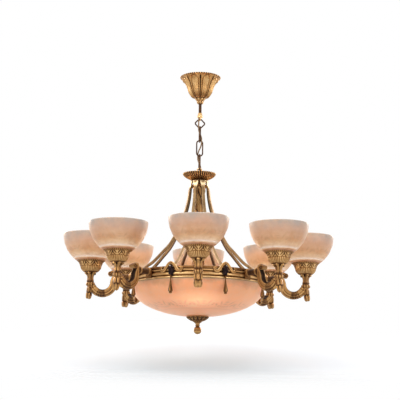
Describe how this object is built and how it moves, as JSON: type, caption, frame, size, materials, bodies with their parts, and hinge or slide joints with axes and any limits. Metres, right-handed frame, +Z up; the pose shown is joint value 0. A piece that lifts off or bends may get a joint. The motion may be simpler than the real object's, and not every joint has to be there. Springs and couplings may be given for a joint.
{
  "type": "chandelier",
  "caption": "Chain-hung brass chandelier with open glass shades on scroll arms round a ring and a shallow glass bowl below it.",
  "frame": {"origin": "on the chandelier's axis at the ceiling plane, midway between the two screw holes of the ceiling bracket", "axes": "+Z up along the axis; -Y points at the viewer through the lamp with number 1; +X to the viewer's right"},
  "size_m": [0.7932, 0.7932, 0.7742],
  "materials": {
    "antique_brass": "antiqued brass, satin, with a brown patina in the recesses",
    "dark_brass": "dark brown patina, satin",
    "steel": "zinc plated",
    "flex_sleeve": "brown-gold sleeve, matt",
    "alabaster_glass": "acid-frosted alabaster glass, soft peach tint",
    "porcelain": "glazed, off-white",
    "lamp_glass": "opal lamp glass",
    "rubber": "matt"
  },
  "bodies": {
    "ceiling_fixing": {"ceiling_bracket": "steel", "rod_nuts": "steel", "hanger_rod": "antique_brass", "rod_eye": "antique_brass", "flex": "flex_sleeve"},
    "canopy": {"canopy": "antique_brass", "canopy_collar": "antique_brass", "grub_screw": "steel"},
    "lozenge": {"lozenge_link": "dark_brass"},
    "link_1": {"chain_link_1": "antique_brass"},
    "link_2": {"chain_link_2": "antique_brass"},
    "link_3": {"chain_link_3": "antique_brass"},
    "finial": {"finial": "antique_brass"},
    "chandelier": {"top_eye": "antique_brass", "top_dish": "antique_brass", "capital": "antique_brass", "column": "antique_brass", "centre_tube": "steel", "tube_nut": "steel", "braces": "antique_brass", "ring": "antique_brass", "ring_screws": "steel", "spider": "steel", "bowl_rod": "antique_brass", "lamp_cluster": "antique_brass", "bowl_lampholders": "porcelain", "bowl_lamps": "lamp_glass", "bowl_gasket": "rubber", "bowl": "alabaster_glass", "bowl_washer": "rubber", "bowl_cap": "antique_brass", "bows": "antique_brass", "rosettes": "dark_brass", "drops": "antique_brass", "shade_lampholders": "porcelain", "shade_lamps": "lamp_glass", "arm_1": "antique_brass", "arm_2": "antique_brass", "arm_3": "antique_brass", "arm_4": "antique_brass", "arm_5": "antique_brass", "arm_6": "antique_brass", "arm_7": "antique_brass", "arm_8": "antique_brass", "cup_1": "antique_brass", "cup_2": "antique_brass", "cup_3": "antique_brass", "cup_4": "antique_brass", "cup_5": "antique_brass", "cup_6": "antique_brass", "cup_7": "antique_brass", "cup_8": "antique_brass", "shade_1": "alabaster_glass", "shade_2": "alabaster_glass", "shade_3": "alabaster_glass", "shade_4": "alabaster_glass", "shade_5": "alabaster_glass", "shade_6": "alabaster_glass", "shade_7": "alabaster_glass", "shade_8": "alabaster_glass"}
  },
  "joints": [
    {"name": "canopy_slide", "type": "slide", "parent": "ceiling_fixing", "child": "canopy", "axis": [0, 0, -1], "range_m": [0, 0.025]},
    {"name": "lozenge_swing", "type": "hinge", "parent": "ceiling_fixing", "child": "lozenge", "pos_m": [0, 0, -0.134], "axis": [-0.1736, 0.9848, 0], "range_deg": [-20, 20], "deforming": ["flex"]},
    {"name": "link_1_swing", "type": "hinge", "parent": "lozenge", "child": "link_1", "pos_m": [0, 0, -0.1578], "axis": [0.9848, 0.1736, 0], "range_deg": [-20, 20], "deforming": ["flex"]},
    {"name": "link_2_swing", "type": "hinge", "parent": "link_1", "child": "link_2", "pos_m": [0, 0, -0.2006], "axis": [-0.1736, 0.9848, 0], "range_deg": [-20, 20], "deforming": ["flex"]},
    {"name": "link_3_swing", "type": "hinge", "parent": "link_2", "child": "link_3", "pos_m": [0, 0, -0.2434], "axis": [0.9848, 0.1736, 0], "range_deg": [-20, 20], "deforming": ["flex"]},
    {"name": "body_swing", "type": "hinge", "parent": "link_3", "child": "chandelier", "pos_m": [0, 0, -0.2862], "axis": [-0.1736, 0.9848, 0], "range_deg": [-20, 20], "deforming": ["flex"]},
    {"name": "finial_turn", "type": "hinge", "parent": "chandelier", "child": "finial", "pos_m": [0, 0, -0.758], "axis": [0, 0, 1], "continuous": true}
  ]
}
